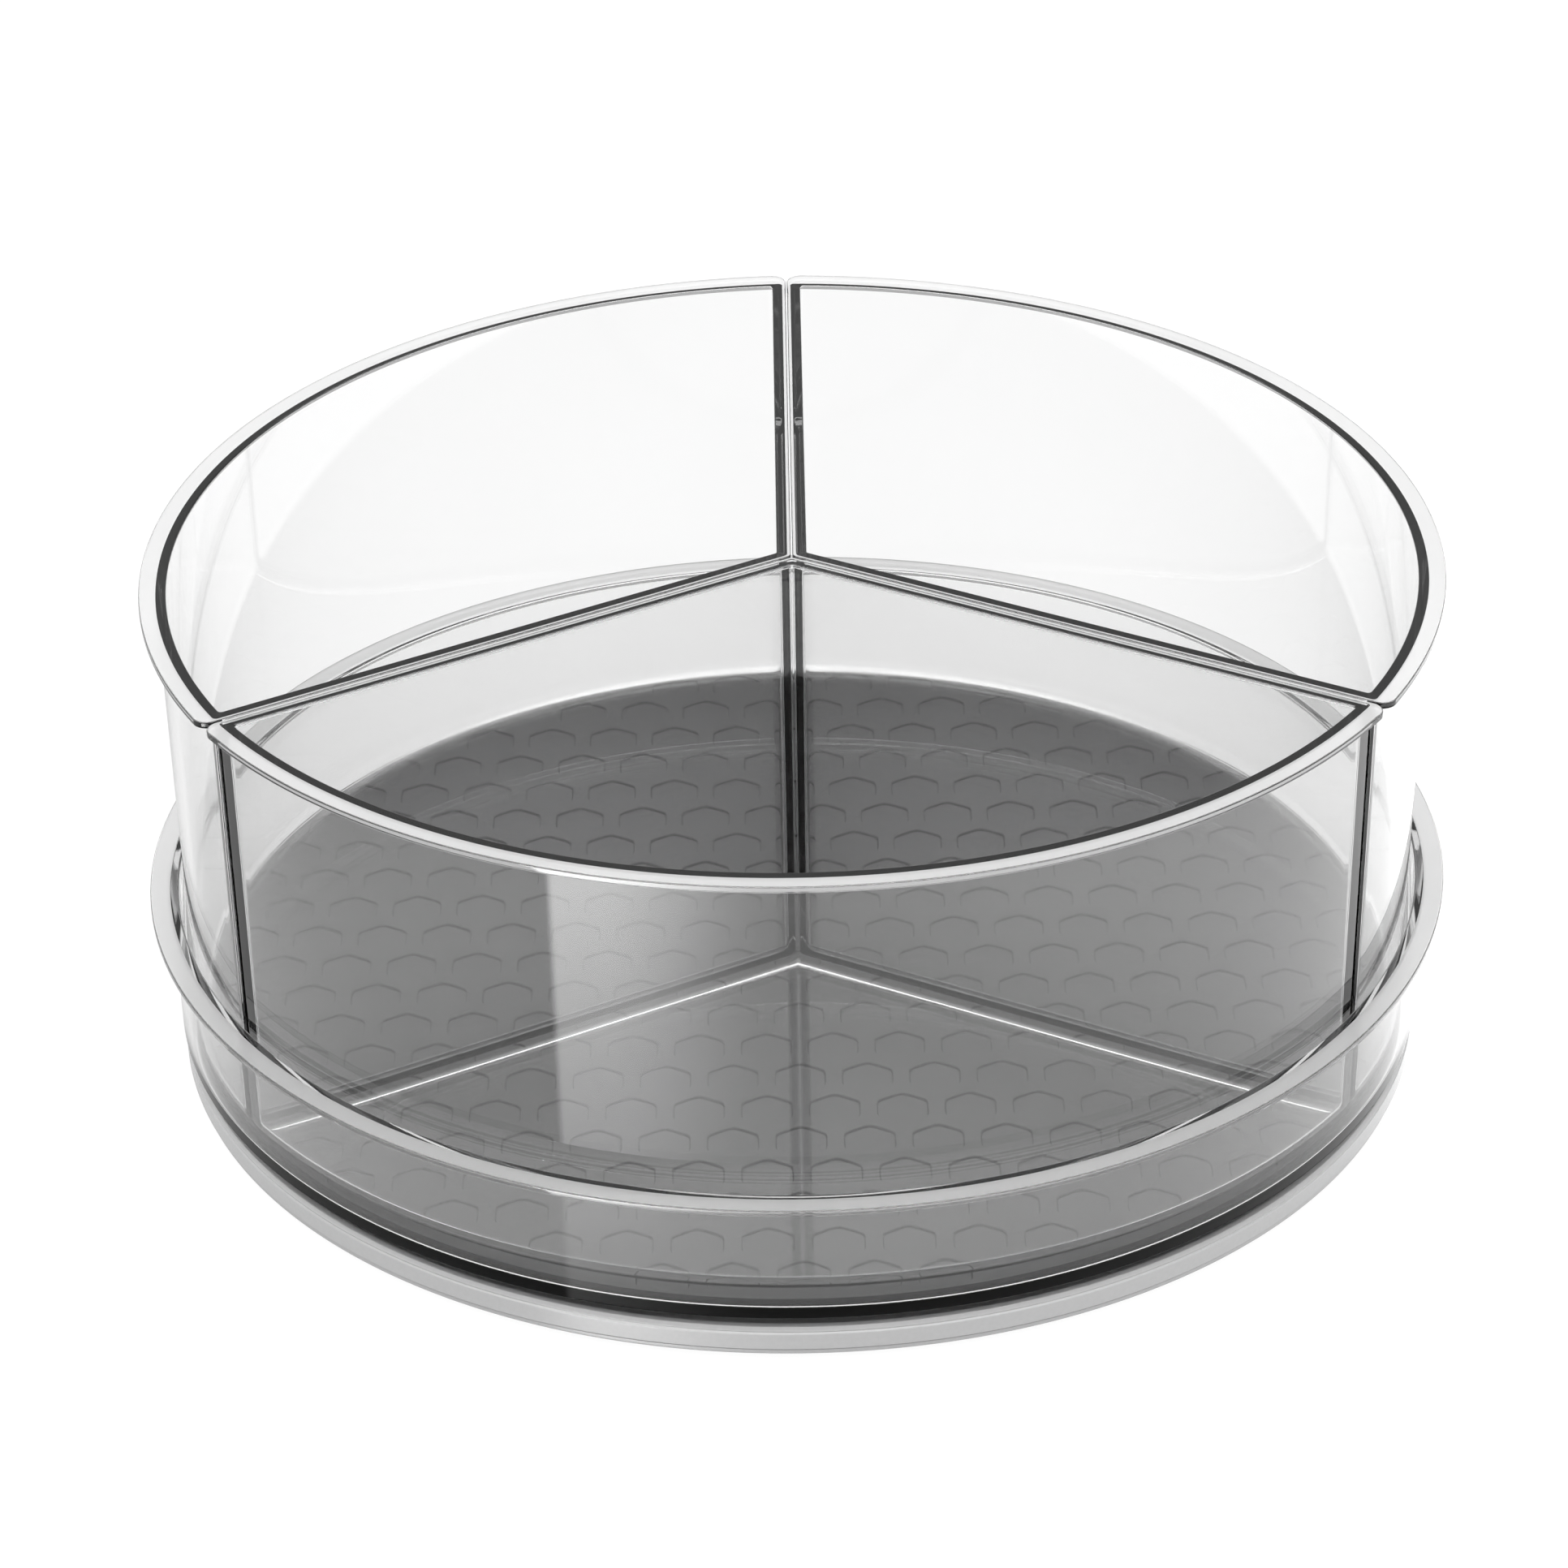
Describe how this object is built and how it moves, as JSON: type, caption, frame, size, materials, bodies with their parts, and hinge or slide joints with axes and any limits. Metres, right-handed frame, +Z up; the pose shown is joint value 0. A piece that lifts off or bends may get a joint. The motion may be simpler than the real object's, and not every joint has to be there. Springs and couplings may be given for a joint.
{
  "type": "lazy susan turntable",
  "caption": "Round turntable on a caged ball race, with a clear rimmed tray, a hexagon-pocket liner and clear wedge bins that lift out.",
  "frame": {"origin": "centre of the footprint, at the underside of the feet", "axes": "+Z up along the spin axis, -Y towards the middle of the first bin, which is the front"},
  "size_m": [0.298, 0.298, 0.1205],
  "materials": {
    "base_plastic": "light grey, semi-gloss moulded",
    "clear_plastic": "clear, polished",
    "bin_plastic": "clear, polished",
    "liner_rubber": "mid grey, matt",
    "foot_rubber": "dark, matt",
    "cage_plastic": "natural white",
    "steel": "bright, ground"
  },
  "bodies": {
    "base": {"base": "base_plastic", "hub_washer": "steel", "hub_screw": "steel", "foot_1": "foot_rubber", "foot_2": "foot_rubber", "foot_3": "foot_rubber", "foot_4": "foot_rubber", "foot_5": "foot_rubber", "foot_6": "foot_rubber"},
    "turntable": {"tray": "clear_plastic", "liner": "liner_rubber"},
    "ball_cage": {"ball_cage": "cage_plastic"},
    "ball_1": {"ball_1": "steel"},
    "ball_2": {"ball_2": "steel"},
    "ball_3": {"ball_3": "steel"},
    "ball_4": {"ball_4": "steel"},
    "ball_5": {"ball_5": "steel"},
    "ball_6": {"ball_6": "steel"},
    "ball_7": {"ball_7": "steel"},
    "ball_8": {"ball_8": "steel"},
    "ball_9": {"ball_9": "steel"},
    "ball_10": {"ball_10": "steel"},
    "ball_11": {"ball_11": "steel"},
    "ball_12": {"ball_12": "steel"},
    "bin_1": {"bin_1": "bin_plastic"},
    "bin_2": {"bin_2": "bin_plastic"},
    "bin_3": {"bin_3": "bin_plastic"}
  },
  "joints": [
    {"name": "turntable_spin", "type": "hinge", "parent": "base", "child": "turntable", "pos_m": [0, 0, 0.011], "axis": [0, 0, 1], "continuous": true},
    {"name": "cage_orbit", "type": "hinge", "parent": "base", "child": "ball_cage", "pos_m": [0, 0, 0.0076], "axis": [0, 0, 1], "continuous": true},
    {"name": "ball_1_roll", "type": "hinge", "parent": "ball_cage", "child": "ball_1", "pos_m": [0.105, 0, 0.0076], "axis": [1, 0, 0], "continuous": true},
    {"name": "ball_2_roll", "type": "hinge", "parent": "ball_cage", "child": "ball_2", "pos_m": [0.09093, 0.0525, 0.0076], "axis": [0.866, 0.5, 0], "continuous": true},
    {"name": "ball_3_roll", "type": "hinge", "parent": "ball_cage", "child": "ball_3", "pos_m": [0.0525, 0.09093, 0.0076], "axis": [0.5, 0.866, 0], "continuous": true},
    {"name": "ball_4_roll", "type": "hinge", "parent": "ball_cage", "child": "ball_4", "pos_m": [0, 0.105, 0.0076], "axis": [0, 1, 0], "continuous": true},
    {"name": "ball_5_roll", "type": "hinge", "parent": "ball_cage", "child": "ball_5", "pos_m": [-0.0525, 0.09093, 0.0076], "axis": [-0.5, 0.866, 0], "continuous": true},
    {"name": "ball_6_roll", "type": "hinge", "parent": "ball_cage", "child": "ball_6", "pos_m": [-0.09093, 0.0525, 0.0076], "axis": [-0.866, 0.5, 0], "continuous": true},
    {"name": "ball_7_roll", "type": "hinge", "parent": "ball_cage", "child": "ball_7", "pos_m": [-0.105, 0, 0.0076], "axis": [-1, 0, 0], "continuous": true},
    {"name": "ball_8_roll", "type": "hinge", "parent": "ball_cage", "child": "ball_8", "pos_m": [-0.09093, -0.0525, 0.0076], "axis": [-0.866, -0.5, 0], "continuous": true},
    {"name": "ball_9_roll", "type": "hinge", "parent": "ball_cage", "child": "ball_9", "pos_m": [-0.0525, -0.09093, 0.0076], "axis": [-0.5, -0.866, 0], "continuous": true},
    {"name": "ball_10_roll", "type": "hinge", "parent": "ball_cage", "child": "ball_10", "pos_m": [0, -0.105, 0.0076], "axis": [0, -1, 0], "continuous": true},
    {"name": "ball_11_roll", "type": "hinge", "parent": "ball_cage", "child": "ball_11", "pos_m": [0.0525, -0.09093, 0.0076], "axis": [0.5, -0.866, 0], "continuous": true},
    {"name": "ball_12_roll", "type": "hinge", "parent": "ball_cage", "child": "ball_12", "pos_m": [0.09093, -0.0525, 0.0076], "axis": [0.866, -0.5, 0], "continuous": true},
    {"name": "bin_1_lift", "type": "slide", "parent": "turntable", "child": "bin_1", "axis": [0, 0, 1], "range_m": [0, 0.15]},
    {"name": "bin_2_lift", "type": "slide", "parent": "turntable", "child": "bin_2", "axis": [0, 0, 1], "range_m": [0, 0.15]},
    {"name": "bin_3_lift", "type": "slide", "parent": "turntable", "child": "bin_3", "axis": [0, 0, 1], "range_m": [0, 0.15]}
  ],
  "couplings": [
    {"joint": "cage_orbit", "follows": "turntable_spin", "ratio": 0.5},
    {"joint": "ball_1_roll", "follows": "turntable_spin", "ratio": -17.5},
    {"joint": "ball_2_roll", "follows": "turntable_spin", "ratio": -17.5},
    {"joint": "ball_3_roll", "follows": "turntable_spin", "ratio": -17.5},
    {"joint": "ball_4_roll", "follows": "turntable_spin", "ratio": -17.5},
    {"joint": "ball_5_roll", "follows": "turntable_spin", "ratio": -17.5},
    {"joint": "ball_6_roll", "follows": "turntable_spin", "ratio": -17.5},
    {"joint": "ball_7_roll", "follows": "turntable_spin", "ratio": -17.5},
    {"joint": "ball_8_roll", "follows": "turntable_spin", "ratio": -17.5},
    {"joint": "ball_9_roll", "follows": "turntable_spin", "ratio": -17.5},
    {"joint": "ball_10_roll", "follows": "turntable_spin", "ratio": -17.5},
    {"joint": "ball_11_roll", "follows": "turntable_spin", "ratio": -17.5},
    {"joint": "ball_12_roll", "follows": "turntable_spin", "ratio": -17.5}
  ]
}
